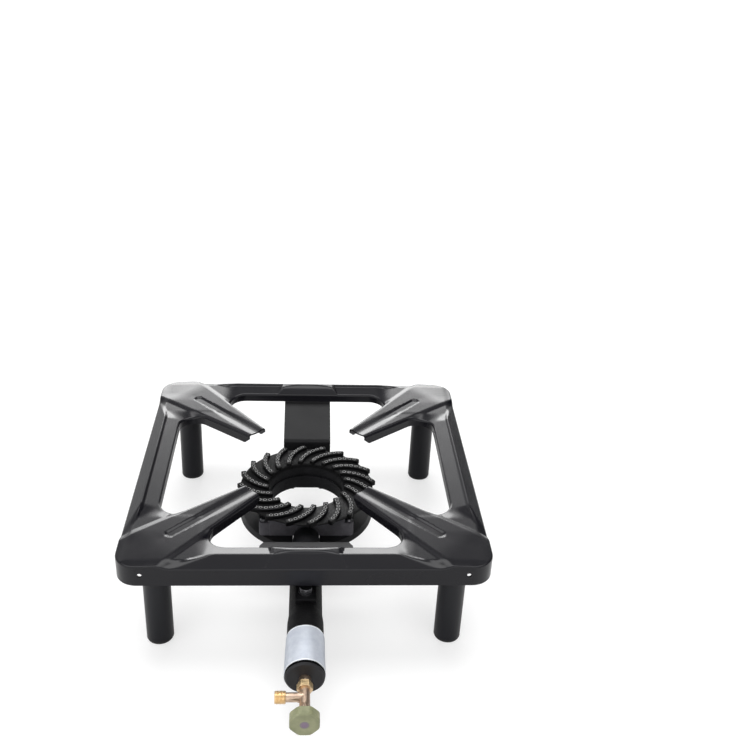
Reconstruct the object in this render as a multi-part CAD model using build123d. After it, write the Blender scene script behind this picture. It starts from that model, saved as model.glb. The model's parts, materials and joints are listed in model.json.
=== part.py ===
from build123d import *
import os
from math import cos, radians, sin, sqrt

# Gas stool burner: a pressed square stand on four tube legs, with a swirl ring
# burner on a long mixing tube and a brass needle valve at the front.
# Millimetres, +Z up, front towards -Y, origin on the floor under the burner's axis.

# Pressed stand
stand_side = 400.0
stand_corner_radius = 24.0
stand_sheet = 2.0
skirt_bottom = 104.6
skirt_height = 20.9
shoulder_run = 9.0
plateau_height = 128.5
flange_bottom = 118.0
rail_width = 34.0
rail_crest_inset = 15.0
rail_crest_height = 135.5
rail_step_run = 2.0
rail_step_height = 132.6
bead_half_length = 112.0
bead_end_run = 7.0
dome_half_length = 42.0
dome_inset = 18.15
dome_height = 137.6
dome_sag = 2.7
dome_end_run = 6.0
window_corner_radius = 13.0
skirt_hole_radius = 2.0
skirt_hole_inset = 28.0
skirt_hole_height = 118.0

# Pan arms, measured along the diagonal from the burner's axis
arm_tip = 91.0
arm_tip_half_width = 14.0
arm_flare = 0.125
arm_top_height = 131.2
arm_edge_chamfer = 2.4
arm_crease = 230.0
corner_edge = 275.0
corner_edge_height = 128.6
groove_half_width = 6.0
groove_depth = 1.7
groove_start = 60.0
groove_end = 207.0
tip_cut_height = 124.6
tip_cut_run = 7.0
arm_overrun = 6.0

# Legs
leg_inset = 37.9
leg_radius = 15.0
leg_wall = 1.5
leg_top = 112.0
leg_cap_height = 4.0
leg_cap_edge = 2.6
leg_plug_length = 12.0
leg_fit = 0.05
spigot_length = 20.0
spigot_wall = 2.0
spigot_collar_radius = 17.0
spigot_collar_height = 4.0
spigot_stem_radius = 12.0

# Burner brackets
bracket_sheet = 2.5
bracket_knee = 110.0
bracket_knee_height = 89.2
bracket_bend_radius = 2.5
bracket_knee_radius = 4.0
back_strap_width = 62.5
back_strap_end = 58.0
back_strap_bolt_setback = 8.0
spacer_length = 7.0
front_bracket_width = 105.0
front_bracket_lip_width = 98.0
lip_taper_start = 16.0
lip_taper_end = 3.0
front_bracket_bottom = 52.0
bracket_turn_height = 115.2
bracket_tube_gap = 0.6
hanger_width = 22.0
hanger_bend_radius = 2.0
hanger_end_margin = 12.0
bracket_weld_height = 126.0

# Burner casting, with distances in front of the burner's axis along the gas line
gas_line_height = 62.0
tube_radius = 18.0
tube_throat_radius = 15.5
tube_throat_end = 64.0
tube_taper_end = 98.0
tube_wall = 4.0
tube_rear = 47.0
tube_nose_length = 11.0
tube_mouth = 284.0
bell_start = 200.0
bell_step = 212.0
bell_step_radius = 19.2
bell_mouth_radius = 20.0
body_radius = 59.0
body_wall = 4.0
body_floor = 60.5
body_floor_thickness = 4.0
body_top = 88.0
hole_radius = 45.0
hole_wall = 4.0
head_seat_height = 76.0
strap_pad_margin = 6.0
strap_pad_thickness = 6.0
lug_reach = 15.0
lug_radius = 5.5
lug_top = 79.0
front_lug_angle = 46.0
bridge_start = 270.0
bridge_length = 8.0
bridge_hub_radius = 9.5
bridge_spoke_width = 5.0
tube_pad_half_width = 11.0
tube_pad_half_length = 12.0
tube_pad_height = 80.5

# Burner head ring
head_radius = 82.0
head_hole_radius = 46.5
head_hole_edge = 1.6
head_collar_wall = 4.0
head_top = 94.2
head_shoulder_radius = 79.5
head_edge_height = 93.4
head_lip_height = 92.2
head_spigot_depth = 3.0
head_fit = 0.05
rib_count = 20
rib_width = 6.4
rib_top = 98.2
rib_edge = 1.2
rib_inner_radius = 47.0
rib_outer_radius = 83.4
rib_sweep = 28.0
rib_lead = 0.41
rib_phase = 11.0

# Deflector tray under the burner
tray_sheet = 2.0
tray_flat_margin = 4.6
tray_rim_run = 3.0
tray_rim_drop = 5.0
tray_hole_radius = 46.5
tray_tube_gap = 0.4

# Fasteners
thread_fit = 0.05
bolt_hole_clearance = 0.4
lug_screw_radius = 2.0
lug_screw_head_radius = 4.0
lug_screw_head_height = 3.0
lug_nut_across_flats = 7.0
lug_nut_height = 3.2
lug_screw_end = 1.0
strap_bolt_radius = 3.0
strap_bolt_across_flats = 10.0
strap_bolt_head_height = 4.0
strap_bolt_grip = 5.0
strap_bolt_x = 20.0
spacer_radius = 6.0
tube_bolt_setback = 16.0
tube_bolt_radius = 4.0
tube_bolt_across_flats = 13.0
tube_bolt_head_height = 5.3
tube_bolt_crown_radius = 6.6
tube_bolt_washer_radius = 8.0
tube_bolt_washer_thickness = 1.6

# Air shutter, jet and valve, with distances in front of the burner's axis
shutter_gap = 1.0
shutter_radius = 20.0
shutter_thickness = 3.5
shutter_bevel = 1.4
shutter_running_fit = 0.05
holder_radius = 6.0
holder_inner_end = 268.0
holder_hex_start = 295.0
holder_hex_length = 8.0
holder_across_flats = 14.0
holder_chamfer = 0.8
gas_bore_radius = 2.0
jet_nose_radius = 1.6
jet_radius = 3.5
jet_length = 8.0
jet_cone_length = 4.0
jet_thread_radius = 2.6
jet_thread_length = 5.0
jet_hole_radius = 0.5
valve_spigot_radius = 3.6
valve_spigot_length = 5.0
valve_body_radius = 5.2
valve_body_end = 322.0
valve_seat = 309.0
valve_seat_radius = 1.2
valve_chamber_radius = 3.2
packing_start = 316.0
packing_length = 2.5
gland_thread_radius = 4.2
gland_flare_end = 329.0
gland_end = 331.0
gland_radius = 7.2
inlet_y = 311.6
inlet_boss_reach = 7.0
inlet_spigot_radius = 3.4
inlet_spigot_length = 2.5
inlet_neck_radius = 4.6
inlet_shoulder = 18.4
inlet_end = 29.2
inlet_thread_radius = 6.58
inlet_chamfer = 0.9
inlet_bore_radius = 2.4
stem_radius = 2.5
stem_running_fit = 0.06
needle_tip = 309.6
needle_tip_radius = 0.7
needle_shoulder = 313.0
stem_end = 343.0
knob_hub_start = 333.2
knob_hub_radius = 5.5
knob_back = 335.5
knob_face = 345.5
knob_across_flats = 28.8
knob_corner_radius = 7.0
knob_edge = 1.2
knob_shell = 2.4
knob_web = 3.5
knob_screw_head_radius = 3.0
knob_screw_head_height = 1.6
knob_screw_radius = 1.25
knob_screw_length = 6.0

# Label foil
label_start = 234.0
label_end = 283.0
label_thickness = 0.25
label_fit = 0.25
label_span = 250.0

skirt_top = skirt_bottom + skirt_height
form_bottom = skirt_bottom - skirt_height
form_height = dome_height + stand_sheet - form_bottom
inner_edge = stand_side / 2 - rail_width
gas_line = Axis((0, 0, gas_line_height), (0, 1, 0))
skirt_hole_x = stand_side / 2 - skirt_hole_inset
leg_centre = stand_side / 2 - leg_inset
leg_bore_radius = leg_radius - leg_wall
bracket_weld_y = inner_edge + stand_sheet + bracket_sheet / 2
tray_underside = body_floor - tray_sheet
strap_bolt_y = back_strap_end + back_strap_bolt_setback
lug_angles = (-front_lug_angle, front_lug_angle - 180, 90)
lug_circle_radius = body_radius + lug_reach
tray_flat_radius = lug_circle_radius + tray_flat_margin
tray_rim_radius = tray_flat_radius + tray_rim_run
tube_bolt_y = stand_side / 2 - tube_bolt_setback
hanger_top = tube_pad_height + bracket_sheet
shutter_back = tube_mouth + shutter_gap
tube_bore = tube_radius - tube_wall
strap_bolts = [(-strap_bolt_x, strap_bolt_y), (strap_bolt_x, strap_bolt_y)]
corners = {
    "front_left": (-leg_centre, -leg_centre),
    "front_right": (leg_centre, -leg_centre),
    "back_left": (-leg_centre, leg_centre),
    "back_right": (leg_centre, leg_centre),
}

os.makedirs("parts", exist_ok=True)


def save(node, part):
    """Writes one node's solids."""
    export_step(part, f"parts/{node}.step")


def upright(points, x=0.0, y=0.0):
    """Solid of revolution about a vertical line, from (radius, z) points."""
    outline = Polyline([(r, 0, z) for r, z in points], close=True)
    return Pos(x, y, 0) * revolve(make_face(outline), Axis.Z)


def along_gas_line(points, arc=360.0):
    """Solid of revolution about the gas line, from (distance in front, radius) points."""
    outline = Polyline([(0, -y, gas_line_height + r) for y, r in points], close=True)
    return revolve(make_face(outline), gas_line, arc)


def post(radius, bottom, top, x=0.0, y=0.0):
    """Vertical cylinder between two heights."""
    return Pos(x, y, bottom) * extrude(Circle(radius), top - bottom)


def rod_forward(radius, start, end, x=0.0, z=gas_line_height):
    """Cylinder along the gas line's direction, between two distances in front."""
    face = Plane((x, -start, z), x_dir=(1, 0, 0), z_dir=(0, -1, 0)) * Circle(radius)
    return extrude(face, end - start)


def hexagon(across_flats):
    """Hexagon outline of the given size across its flats."""
    return RegularPolygon(across_flats / 2, 6, major_radius=False)


def facing_front(face, start, length, z=gas_line_height):
    """Prism of a face that looks along the gas line, starting at a distance in front."""
    plane = Plane((0, -start, z), x_dir=(1, 0, 0), z_dir=(0, -1, 0))
    return extrude(plane * face, length)


def bent_sheet(points, radii, thickness, width):
    """Bent sheet from (y, z) points of its middle line, centred on X = 0."""
    section = trace(FilletPolyline(*points, radius=radii), thickness)
    return extrude(Plane.YZ * section, width / 2, both=True)


def polar(radius, angle):
    """Plan point at a radius and an angle in degrees."""
    return (radius * cos(radians(angle)), radius * sin(radians(angle)))


# Pressed stand


def arm_half_width(distance):
    """Half width of a pan arm at a distance along the diagonal."""
    return arm_tip_half_width + arm_flare * (distance - arm_tip)


def arm_outline(start, end, shrink):
    """Plan outline of one arm along +X, narrowed by shrink on each side."""
    a = arm_half_width(start) - shrink
    b = arm_half_width(end) - shrink
    return make_face(Polyline([(start, -a), (end, -b), (end, b), (start, a)], close=True))


def window(grow):
    """Plan outline of the stand's opening, around the four arms; grown, it leaves their tips open."""
    half = inner_edge + grow
    tip = arm_tip - 3 * grow
    face = Rectangle(2 * half, 2 * half)
    for k in range(4):
        face -= Rot(0, 0, 45 + 90 * k) * arm_outline(tip, stand_side, grow)
    corners = [v for v in face.vertices() if abs(max(abs(v.X), abs(v.Y)) - half) < 0.001]
    return fillet(corners, window_corner_radius + grow)


def rail_profile(points, inset, half_length):
    """Rail section through (inset from the outside, height) points, for the front rail."""
    deep = [(0, form_bottom)] + points + [(rail_width, form_bottom)]
    face = make_face(Polyline(deep, close=True))
    if inset:
        face = offset(face, -inset, kind=Kind.INTERSECTION)
    plane = Plane((0, -stand_side / 2, 0), x_dir=(0, 1, 0), z_dir=(1, 0, 0))
    return extrude(plane * face, half_length - inset, both=True)


def across_rail(outline):
    """Prism across the front rail from its outline in elevation."""
    return extrude(Plane.XZ * make_face(outline), stand_side)


def crest_bead(inset):
    """Crest along the front rail, with ends that slope down to the valley before the arms."""
    points = [
        (0, skirt_top),
        (rail_crest_inset, rail_crest_height),
        (rail_crest_inset + rail_step_run, rail_step_height),
        (rail_width, plateau_height),
    ]
    end = bead_half_length - inset
    shoulder = end - bead_end_run
    foot = skirt_top - inset
    top = rail_crest_height - inset
    outline = Polyline(
        [
            (-end, form_bottom),
            (-end, foot),
            (-shoulder, top),
            (shoulder, top),
            (end, foot),
            (end, form_bottom),
        ],
        close=True,
    )
    return rail_profile(points, inset, bead_half_length) & across_rail(outline)


def rail_dome(inset):
    """Shallow dome over the middle of the front rail, flush with the rail's outer slope."""
    points = [(0, skirt_top), (dome_inset, dome_height), (rail_width, plateau_height)]
    end = dome_half_length - inset
    shoulder = end - dome_end_run
    foot = plateau_height - inset
    top = dome_height - inset
    side = top - dome_sag
    outline = ThreePointArc((shoulder, side), (0, top), (-shoulder, side))
    outline += Polyline(
        (-shoulder, side),
        (-end, foot),
        (-end, form_bottom),
        (end, form_bottom),
        (end, foot),
        (shoulder, side),
    )
    return rail_profile(points, inset, dome_half_length) & across_rail(outline)


def corner_arm(inset):
    """One pan arm along +X with its corner pad, groove and outer facet."""
    start = arm_tip - arm_overrun
    end = corner_edge + arm_overrun
    elevation = Polyline(
        [
            (start, form_bottom),
            (start, arm_top_height - inset),
            (arm_crease, arm_top_height - inset),
            (corner_edge, corner_edge_height - inset),
            (end, corner_edge_height - inset),
            (end, form_bottom),
        ],
        close=True,
    )
    side = extrude(Plane.XZ * make_face(elevation), arm_half_width(end) + 1, both=True)
    plan = extrude(Pos(0, 0, form_bottom) * arm_outline(start + 1, end - 1, inset), form_height)
    arm = side & plan
    flanks = [
        e
        for e in arm.edges()
        if e.center().Z > plateau_height - inset
        and abs(e.center().Y) > 5
        and abs(e.tangent_at(0.5).Y) < 0.5
    ]
    arm = chamfer(flanks, arm_edge_chamfer)
    groove = SlotOverall(2 * (groove_end - groove_start), 2 * (groove_half_width + inset))
    groove_floor = arm_top_height - inset - groove_depth
    return arm - Pos(groove_start, 0, groove_floor) * extrude(groove, form_height)


def pressed_form(inset):
    """Solid under the stand's skin, inset by a sheet thickness for the inner skin."""
    side = stand_side - 2 * inset
    radius = stand_corner_radius - inset
    block = Pos(0, 0, form_bottom) * extrude(RectangleRounded(side, side, radius), skirt_top - form_bottom)
    base = Pos(0, 0, skirt_top - inset / 2) * RectangleRounded(side, side, radius)
    top_side = side - 2 * shoulder_run
    top = Pos(0, 0, plateau_height - inset) * RectangleRounded(top_side, top_side, radius - shoulder_run)
    form = block + loft([base.face(), top.face()], ruled=True)
    bead = crest_bead(inset)
    dome = rail_dome(inset)
    for k in range(4):
        form += Rot(0, 0, 90 * k) * bead
    for k in (0, 2):
        form += Rot(0, 0, 90 * k) * dome
    limit = Pos(0, 0, form_bottom) * extrude(RectangleRounded(side, side, radius), form_height)
    arm = corner_arm(inset)
    for k in range(4):
        form += (Rot(0, 0, 45 + 90 * k) * arm) & limit
    return form


def stand_frame():
    """Pressed stand: skirt, rails with crest beads, corner pads and pan arms in one sheet."""
    floor = Pos(0, 0, form_bottom - 1)
    outer = pressed_form(0) - floor * extrude(window(0), form_height)
    inner = pressed_form(stand_sheet) - floor * extrude(window(stand_sheet), form_height)
    side = stand_side - 2 * stand_sheet
    cavity = RectangleRounded(side, side, stand_corner_radius - stand_sheet)
    frame = outer - inner - floor * extrude(cavity, flange_bottom - form_bottom + 1)
    frame -= floor * extrude(Rectangle(2 * stand_side, 2 * stand_side), skirt_bottom - form_bottom + 1)
    tip = Polyline(
        [
            (arm_tip - 1, tip_cut_height),
            (arm_tip, tip_cut_height),
            (arm_tip + tip_cut_run, flange_bottom),
            (arm_tip + tip_cut_run, flange_bottom - 1),
            (arm_tip - 1, flange_bottom - 1),
        ],
        close=True,
    )
    tip_cut = extrude(Plane.XZ * make_face(tip), 2 * arm_tip_half_width, both=True)
    for k in range(4):
        frame -= Rot(0, 0, 45 + 90 * k) * tip_cut
    front = stand_side / 2
    for x in (-skirt_hole_x, skirt_hole_x):
        frame -= rod_forward(skirt_hole_radius, front - 2 * stand_sheet, front + 1, x, skirt_hole_height)
    return frame


# Legs


def leg_tube(x, y):
    """Round tube leg between its cap and the spigot's collar."""
    return post(leg_radius, leg_cap_height, leg_top, x, y) - post(leg_bore_radius, 0, leg_top + 1, x, y)


def leg_cap(x, y):
    """Rubber foot with a plug that fits the tube."""
    plug = leg_bore_radius - leg_fit
    top = leg_cap_height + leg_plug_length
    return upright(
        [
            (0, 0),
            (leg_radius - leg_cap_edge, 0),
            (leg_radius - 0.3 * leg_cap_edge, 0.3 * leg_cap_edge),
            (leg_radius, leg_cap_edge),
            (leg_radius, leg_cap_height),
            (plug, leg_cap_height),
            (plug, top),
            (0, top),
        ],
        x,
        y,
    )


def leg_socket(x, y, underside):
    """Spigot that fills the leg's top, with a collar and a stem welded under the pad."""
    plug = leg_bore_radius - leg_fit
    collar_top = leg_top + spigot_collar_height
    spigot = upright(
        [
            (plug - spigot_wall, leg_top - spigot_length),
            (plug, leg_top - spigot_length),
            (plug, leg_top),
            (spigot_collar_radius, leg_top),
            (spigot_collar_radius, collar_top),
            (spigot_stem_radius, collar_top),
            (spigot_stem_radius, collar_top + 20),
            (0, collar_top + 20),
            (0, leg_top),
            (plug - spigot_wall, leg_top),
        ],
        x,
        y,
    )
    return spigot & underside


# Brackets between the stand and the burner


def back_strap():
    """Wide strap from the back rail, down and forward under the tray, with two bolt holes."""
    foot = tray_underside - spacer_length - bracket_sheet / 2
    bend = bracket_bend_radius + bracket_sheet / 2
    knee_bend = bracket_knee_radius + bracket_sheet / 2
    knee = bracket_knee - bracket_sheet / 2
    path = [
        (bracket_weld_y, bracket_weld_height),
        (bracket_weld_y, bracket_turn_height),
        (knee, bracket_knee_height),
        (knee, foot),
        (back_strap_end, foot),
    ]
    strap = bent_sheet(path, [bend, knee_bend, bend], bracket_sheet, back_strap_width)
    hole = strap_bolt_radius + bolt_hole_clearance
    for x, y in strap_bolts:
        strap -= post(hole, foot - bracket_sheet, foot + bracket_sheet, x, y)
    return strap


def front_bracket():
    """Wide plate from the front rail, down over the mixing tube, notched for it."""
    bend = bracket_bend_radius + bracket_sheet / 2
    knee_bend = bracket_knee_radius + bracket_sheet / 2
    knee = bracket_knee - bracket_sheet / 2
    path = [
        (-bracket_weld_y, bracket_weld_height),
        (-bracket_weld_y, bracket_turn_height),
        (-knee, bracket_knee_height),
        (-knee, front_bracket_bottom),
    ]
    plate = bent_sheet(path, [bend, knee_bend], bracket_sheet, front_bracket_width)
    half = front_bracket_width / 2
    lip = front_bracket_lip_width / 2
    reach = 2 * bracket_sheet
    for side in (-1, 1):
        corner = Polyline(
            [
                (side * (half + reach), reach - knee),
                (side * half, -knee - lip_taper_start),
                (side * lip, -knee - lip_taper_end),
                (side * lip, reach - knee),
            ],
            close=True,
        )
        plate -= extrude(make_face(corner), bracket_weld_height)
    notch = tube_radius + bracket_tube_gap
    plate -= rod_forward(notch, knee - reach, knee + reach)
    return plate - Pos(0, -knee, 0) * extrude(Rectangle(2 * notch, 2 * reach), gas_line_height)


def tube_hanger():
    """Narrow strap from the front bracket down onto the mixing tube's pad."""
    bend = hanger_bend_radius + bracket_sheet / 2
    leg = -bracket_weld_y - bracket_sheet
    foot = tube_pad_height + bracket_sheet / 2
    path = [(leg, bracket_weld_height), (leg, foot), (-tube_bolt_y - hanger_end_margin, foot)]
    strap = bent_sheet(path, bend, bracket_sheet, hanger_width)
    hole = tube_bolt_radius + bolt_hole_clearance
    return strap - post(hole, tube_pad_height - 1, hanger_top + 1, 0, -tube_bolt_y)


# Burner


def tube_outline(shrink):
    """(distance, radius) points of the mixing tube's outside, or of its bore with shrink."""
    throat = tube_throat_radius - shrink
    turns = [radians(angle) for angle in (0, 30, 60, 90)]
    rear = tube_rear + shrink
    nose = [(rear + tube_nose_length * (1 - cos(turn)), throat * sin(turn)) for turn in turns]
    return nose + [
        (tube_throat_end, throat),
        (tube_taper_end, tube_radius - shrink),
        (bell_start, tube_radius - shrink),
        (bell_step, bell_step_radius - shrink),
        (tube_mouth, bell_mouth_radius - shrink),
        (tube_mouth, 0),
    ]


def pot_block(half_width, front, corner, height):
    """Straight front of the pot, up to a height above its floor."""
    shape = RectangleRounded(2 * half_width, 2 * front, corner)
    shape -= Pos(0, front) * Rectangle(4 * half_width, 2 * front)
    return Pos(0, 0, body_floor) * extrude(shape, height - body_floor)


def burner_body():
    """Cast pot with a centre hole and a straight front, and the mixing tube that leaves it."""
    inner = body_radius - body_wall
    floor = body_floor + body_floor_thickness
    lug_x, lug_y = polar(lug_circle_radius, -front_lug_angle)
    pot = post(body_radius, body_floor, body_top)
    pot += pot_block(lug_x - lug_radius, body_radius, lug_radius / 2, body_top)
    pot += pot_block(lug_x + lug_radius, lug_radius - lug_y, lug_radius, lug_top)
    rear = Pos(0, lug_circle_radius / 2) * Rectangle(2 * lug_radius, lug_circle_radius)
    rear += Pos(0, lug_circle_radius) * Circle(lug_radius)
    pot += Pos(0, 0, body_floor) * extrude(rear, lug_top - body_floor)
    reach = strap_bolt_y + strap_pad_margin
    pad = Pos(0, reach / 2) * Rectangle(2 * (strap_bolt_x + strap_pad_margin), reach)
    pot += Pos(0, 0, body_floor) * extrude(pad, strap_pad_thickness)
    tube = along_gas_line(tube_outline(0))
    pad = Pos(0, -tube_bolt_y, 0) * Rectangle(2 * tube_pad_half_width, 2 * tube_pad_half_length)
    tube += Pos(0, 0, gas_line_height) * extrude(pad, tube_pad_height - gas_line_height)
    body = pot + tube
    body -= upright(
        [
            (hole_radius + hole_wall, floor),
            (inner, floor),
            (inner, body_top + 1),
            (0, body_top + 1),
            (0, head_seat_height),
            (hole_radius + hole_wall, head_seat_height),
        ]
    )
    body -= post(hole_radius, body_floor - 1, body_top)
    body -= along_gas_line(tube_outline(tube_wall))
    hub = Circle(bridge_hub_radius)
    for k in range(3):
        spoke = Pos(0, bell_mouth_radius / 2 - 1) * Rectangle(bridge_spoke_width, bell_mouth_radius)
        hub += Rot(0, 0, 120 * k) * spoke
    bridge = facing_front(hub, bridge_start, bridge_length)
    body += bridge & rod_forward(bell_step_radius, bridge_start, bridge_start + bridge_length)
    body -= rod_forward(holder_radius + thread_fit, bridge_start - 5, bridge_start + bridge_length + 5)
    for angle in lug_angles:
        x, y = polar(lug_circle_radius, angle)
        body -= post(lug_screw_radius + bolt_hole_clearance, body_floor - 1, lug_top + 1, x, y)
    pad_top = body_floor + strap_pad_thickness
    for x, y in strap_bolts:
        body -= post(strap_bolt_radius + thread_fit, body_floor - 1, pad_top + 1, x, y)
    return body - post(tube_bolt_radius + thread_fit, gas_line_height, tube_pad_height + 1, 0, -tube_bolt_y)


def swirl_rib():
    """One curved rib of the head, from the hole's edge to past the rim."""
    middle = (rib_inner_radius + rib_outer_radius) / 2
    start = polar(rib_inner_radius, 0)
    end = polar(rib_outer_radius, -rib_sweep)
    plan = trace(ThreePointArc(start, polar(middle, -rib_lead * rib_sweep), end), rib_width)
    rib = extrude(plan, rib_top - head_lip_height)
    crown = rib.edges().group_by(Axis.Z)[-1]
    return Pos(0, 0, head_lip_height) * chamfer(crown, rib_edge)


def burner_head():
    """Cast ring with swirl ribs, a collar round the hole and a spigot in the pot."""
    collar = head_hole_radius + head_collar_wall
    spigot = body_radius - body_wall - head_fit
    head = upright(
        [
            (head_hole_radius, head_seat_height),
            (collar, head_seat_height),
            (collar, body_top),
            (spigot - 3, body_top),
            (spigot - 3, body_top - head_spigot_depth),
            (spigot, body_top - head_spigot_depth),
            (spigot, body_top),
            (body_radius, body_top),
            (head_radius, head_lip_height),
            (head_radius, head_edge_height),
            (head_shoulder_radius, head_top),
            (head_hole_radius + head_hole_edge, head_top),
            (head_hole_radius, head_top - head_hole_edge),
        ]
    )
    rib = swirl_rib()
    ring = [Rot(0, 0, rib_phase + 360 * k / rib_count) * rib for k in range(rib_count)]
    return head + ring


def burner_tray():
    """Inverted saucer under the pot, notched at the front for the mixing tube."""
    middle = body_floor - tray_sheet / 2
    path = Polyline(
        [
            (tray_hole_radius, middle),
            (tray_flat_radius, middle),
            (tray_rim_radius, middle - tray_rim_drop),
        ]
    )
    tray = revolve(Plane.XZ * trace(path, tray_sheet), Axis.Z)
    narrow = tube_throat_radius + tray_tube_gap
    wide = tube_radius + tray_tube_gap
    notch = Polyline(
        [
            (-narrow, -hole_radius / 2),
            (-narrow, -tube_throat_end),
            (-wide, -tube_taper_end),
            (wide, -tube_taper_end),
            (narrow, -tube_throat_end),
            (narrow, -hole_radius / 2),
        ],
        close=True,
    )
    tray -= extrude(make_face(notch), gas_line_height)
    for angle in lug_angles:
        x, y = polar(lug_circle_radius, angle)
        tray -= post(lug_screw_radius + bolt_hole_clearance, tray_underside - 1, body_floor + 1, x, y)
    for x, y in strap_bolts:
        tray -= post(strap_bolt_radius + bolt_hole_clearance, tray_underside - 1, body_floor + 1, x, y)
    return tray


# Fasteners


def lug_screw(x, y):
    """Domed screw down through a body lug and the tray."""
    tip = tray_underside - lug_nut_height - lug_screw_end
    top = lug_top + lug_screw_head_height
    return upright(
        [
            (0, tip),
            (lug_screw_radius, tip),
            (lug_screw_radius, lug_top),
            (lug_screw_head_radius, lug_top),
            (lug_screw_head_radius, lug_top + 0.4 * lug_screw_head_height),
            (0.7 * lug_screw_head_radius, top),
            (0, top),
        ],
        x,
        y,
    )


def lug_nut(x, y):
    """Hexagon nut under the tray."""
    outline = hexagon(lug_nut_across_flats) - Circle(lug_screw_radius + thread_fit)
    nut = extrude(outline, -lug_nut_height)
    return Pos(x, y, tray_underside) * nut


def strap_bolt(x, y):
    """Hexagon bolt up through the strap and a spacer into the pot's floor."""
    seat = tray_underside - spacer_length - bracket_sheet
    head = Pos(x, y, seat) * extrude(hexagon(strap_bolt_across_flats), -strap_bolt_head_height)
    return head + post(strap_bolt_radius, seat, body_floor + strap_bolt_grip, x, y)


def strap_spacer(x, y):
    """Round spacer between the strap and the tray."""
    bottom = tray_underside - spacer_length
    hole = post(strap_bolt_radius + bolt_hole_clearance, bottom - 1, tray_underside + 1, x, y)
    return post(spacer_radius, bottom, tray_underside, x, y) - hole


def tube_bolt():
    """Hexagon bolt on the hanger, into the mixing tube's pad."""
    seat = hanger_top + tube_bolt_washer_thickness
    face = Rot(0, 0, 30) * hexagon(tube_bolt_across_flats)
    head = extrude(face, tube_bolt_head_height)
    skirt = tube_bolt_crown_radius + tube_bolt_head_height / 2
    crown = [(0, 0), (skirt, 0), (tube_bolt_crown_radius, tube_bolt_head_height), (0, tube_bolt_head_height)]
    head &= upright(crown)
    tip = gas_line_height + tube_bore + 0.5
    return Pos(0, -tube_bolt_y, seat) * head + post(tube_bolt_radius, tip, seat, 0, -tube_bolt_y)


def tube_bolt_washer():
    """Flat washer under the tube bolt's head."""
    top = hanger_top + tube_bolt_washer_thickness
    hole = post(tube_bolt_radius + bolt_hole_clearance, hanger_top - 1, top + 1, 0, -tube_bolt_y)
    return post(tube_bolt_washer_radius, hanger_top, top, 0, -tube_bolt_y) - hole


# Air shutter and valve


def label_sleeve():
    """Thin foil round the top of the mixing tube's bell."""
    slope = (bell_mouth_radius - bell_step_radius) / (tube_mouth - bell_step)
    inner_start = bell_step_radius + slope * (label_start - bell_step) + label_fit
    inner_end = bell_step_radius + slope * (label_end - bell_step) + label_fit
    foil = along_gas_line(
        [
            (label_start, inner_start),
            (label_end, inner_end),
            (label_end, inner_end + label_thickness),
            (label_start, inner_start + label_thickness),
        ],
        label_span,
    )
    return foil.rotate(gas_line, -label_span / 2)


def air_shutter():
    """Bevelled disc that slides on the jet holder's shank."""
    bore = holder_radius + shutter_running_fit
    front = shutter_back + shutter_thickness
    return along_gas_line(
        [
            (shutter_back, bore),
            (shutter_back, shutter_radius - shutter_bevel / 2),
            (shutter_back + shutter_bevel / 2, shutter_radius),
            (front - shutter_bevel, shutter_radius),
            (front, shutter_radius - shutter_bevel),
            (front, bore),
        ]
    )


def jet_holder():
    """Shank in the tube's bridge, with a hexagon, bored for the jet and the valve body."""
    holder = rod_forward(holder_radius, holder_inner_end, holder_hex_start)
    nut = facing_front(hexagon(holder_across_flats), holder_hex_start, holder_hex_length)
    corner = holder_across_flats / sqrt(3)
    front = holder_hex_start + holder_hex_length
    nut &= along_gas_line(
        [
            (holder_hex_start, 0),
            (holder_hex_start, corner - holder_chamfer),
            (holder_hex_start + holder_chamfer, corner + 0.1),
            (front - holder_chamfer, corner + 0.1),
            (front, corner - holder_chamfer),
            (front, 0),
        ]
    )
    holder += nut
    holder -= rod_forward(gas_bore_radius, holder_inner_end - 1, front + 1)
    jet_seat = holder_inner_end + jet_thread_length
    holder -= rod_forward(jet_thread_radius + thread_fit, holder_inner_end - 1, jet_seat)
    return holder - rod_forward(valve_spigot_radius + thread_fit, front - valve_spigot_length, front + 1)


def gas_jet():
    """Brass jet screwed into the shank's inner end, with a fine hole."""
    nose = holder_inner_end - jet_length
    return along_gas_line(
        [
            (nose, jet_hole_radius),
            (nose, jet_nose_radius),
            (nose + jet_cone_length, jet_radius),
            (holder_inner_end, jet_radius),
            (holder_inner_end, jet_thread_radius),
            (holder_inner_end + jet_thread_length, jet_thread_radius),
            (holder_inner_end + jet_thread_length, gas_bore_radius),
            (nose + jet_cone_length, gas_bore_radius),
            (nose + jet_cone_length - 2, jet_hole_radius),
        ]
    )


def valve_body():
    """Brass body with a seat, a stem chamber, a packing seat and a side boss for the inlet."""
    back = holder_hex_start + holder_hex_length
    body = rod_forward(valve_spigot_radius, back - valve_spigot_length, back)
    body += rod_forward(valve_body_radius, back, valve_body_end)
    body += side_rod(valve_body_radius, 0, inlet_boss_reach)
    body -= rod_forward(valve_seat_radius, back - valve_spigot_length - 1, valve_body_end)
    body -= rod_forward(valve_chamber_radius, valve_seat, valve_body_end)
    body -= rod_forward(gland_thread_radius + thread_fit, packing_start, valve_body_end + 1)
    body -= side_rod(inlet_bore_radius, 0, inlet_boss_reach + 1)
    seat = inlet_boss_reach - inlet_spigot_length
    return body - side_rod(inlet_spigot_radius + thread_fit, seat, inlet_boss_reach + 1)


def side_rod(radius, start, end):
    """Cylinder along the inlet branch, between two distances to the left of the gas line."""
    plane = Plane((-start, -inlet_y, gas_line_height), x_dir=(0, 1, 0), z_dir=(-1, 0, 0))
    return extrude(plane * Circle(radius), end - start)


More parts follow.
